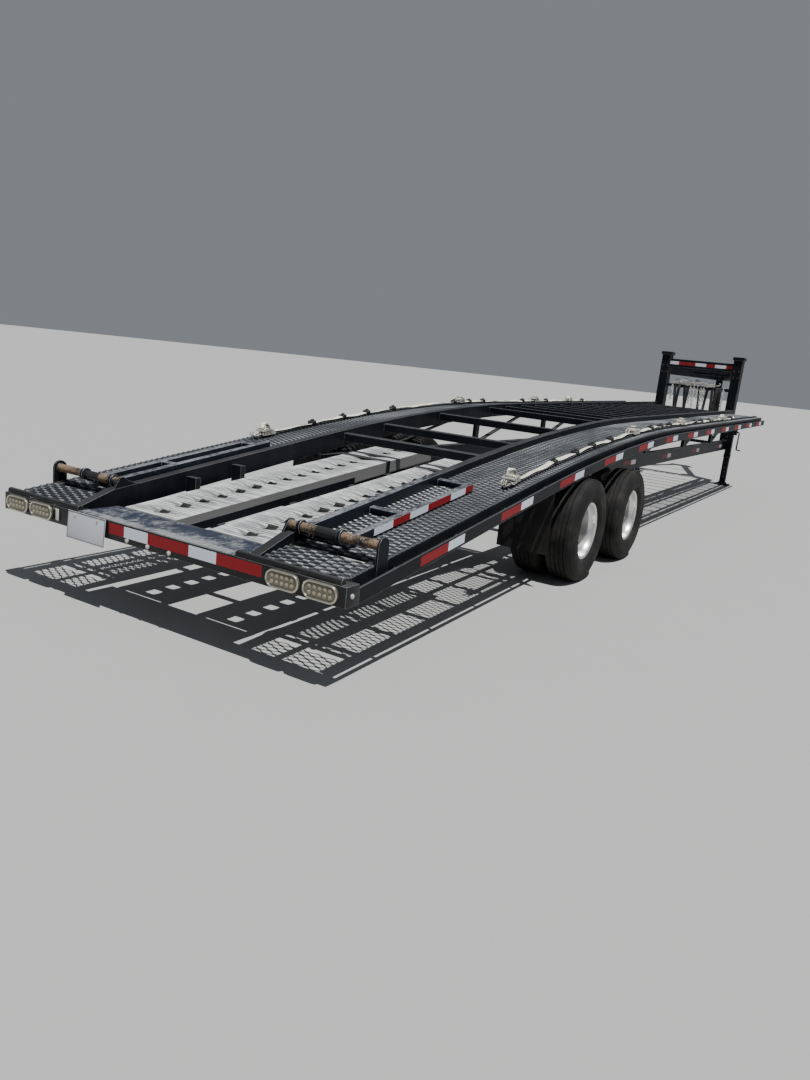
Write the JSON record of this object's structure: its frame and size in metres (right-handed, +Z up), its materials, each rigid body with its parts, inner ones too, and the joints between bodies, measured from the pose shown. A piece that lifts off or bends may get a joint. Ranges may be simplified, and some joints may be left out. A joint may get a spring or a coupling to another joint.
{
  "type": "gooseneck wedge car-hauling trailer",
  "caption": "Black gooseneck wedge trailer for carrying cars, with mesh runways, flip-over wheel ramps, stowed aluminium loading ramps and tandem dual wheels.",
  "frame": {"origin": "centre of the bounding box on the ground, midway between the lamps at the rear and the nose of the neck", "axes": "+Y forward to the neck, +X to the right of the direction of travel, +Z up"},
  "size_m": [2.585, 13.882, 2.1],
  "materials": {
    "frame_paint": "worn satin black paint, bright steel on the edges",
    "deck_steel": "black expanded steel, paint worn off the raised strands",
    "rusty_pipe": "black paint with brown rust",
    "ramp_aluminium": "bright ribbed mill finish",
    "wheel_silver": "silver painted steel",
    "tyre_rubber": "dusty worn rubber",
    "running_gear": "dusty matte black",
    "flap_rubber": "matte black",
    "plate_white": "blank white sheet",
    "webbing": "pale polyester webbing with zinc ratchets"
  },
  "bodies": {
    "root": {"rear_bumper": "frame_paint", "tail_plate": "frame_paint", "centre_frame": "frame_paint", "track_frame_left": "frame_paint", "track_frame_right": "frame_paint", "rub_rail_left": "frame_paint", "rub_rail_right": "frame_paint", "strap_rail_left": "frame_paint", "strap_rail_right": "frame_paint", "truss_left": "frame_paint", "truss_right": "frame_paint", "ramp_cradle": "frame_paint", "neck_portal": "frame_paint", "neck_beams": "frame_paint", "coupler": "frame_paint", "front_leg_left": "frame_paint", "front_leg_right": "frame_paint", "deck_mesh_left": "deck_steel", "deck_mesh_right": "deck_steel", "hinge_left": "rusty_pipe", "hinge_right": "rusty_pipe", "loading_ramp_left": "ramp_aluminium", "loading_ramp_right": "ramp_aluminium", "axle_rear": "running_gear", "axle_front": "running_gear", "spring_rear_left": "running_gear", "spring_rear_right": "running_gear", "spring_front_left": "running_gear", "spring_front_right": "running_gear", "mud_flap_left": "flap_rubber", "mud_flap_right": "flap_rubber", "number_plate": "plate_white", "straps_left": "webbing", "straps_right": "webbing"},
    "wheel_set_rear_right": {"wheel_rear_right": "wheel_silver", "tyre_rear_right_inner": "tyre_rubber", "tyre_rear_right_outer": "tyre_rubber"},
    "wheel_set_rear_left": {"wheel_rear_left": "wheel_silver", "tyre_rear_left_inner": "tyre_rubber", "tyre_rear_left_outer": "tyre_rubber"},
    "wheel_set_front_right": {"wheel_front_right": "wheel_silver", "tyre_front_right_inner": "tyre_rubber", "tyre_front_right_outer": "tyre_rubber"},
    "wheel_set_front_left": {"wheel_front_left": "wheel_silver", "tyre_front_left_inner": "tyre_rubber", "tyre_front_left_outer": "tyre_rubber"},
    "flip_right": {"flip_ramp_right": "frame_paint"},
    "flip_left": {"flip_ramp_left": "frame_paint"}
  },
  "joints": [
    {"name": "wheel_spin_rear_right", "type": "hinge", "parent": "root", "child": "wheel_set_rear_right", "pos_m": [1.0375, -3.852, 0.391], "axis": [1, 0, 0], "continuous": true},
    {"name": "wheel_spin_rear_left", "type": "hinge", "parent": "root", "child": "wheel_set_rear_left", "pos_m": [-1.0375, -3.852, 0.391], "axis": [1, 0, 0], "continuous": true},
    {"name": "wheel_spin_front_right", "type": "hinge", "parent": "root", "child": "wheel_set_front_right", "pos_m": [1.0375, -2.753, 0.391], "axis": [1, 0, 0], "continuous": true},
    {"name": "wheel_spin_front_left", "type": "hinge", "parent": "root", "child": "wheel_set_front_left", "pos_m": [-1.0375, -2.753, 0.391], "axis": [1, 0, 0], "continuous": true},
    {"name": "flip_hinge_right", "type": "hinge", "parent": "root", "child": "flip_right", "pos_m": [0.815, -6.589, 0.64839], "axis": [1, 0, 0], "range_deg": [0, 186]},
    {"name": "flip_hinge_left", "type": "hinge", "parent": "root", "child": "flip_left", "pos_m": [-0.815, -6.589, 0.64839], "axis": [1, 0, 0], "range_deg": [0, 186]}
  ]
}
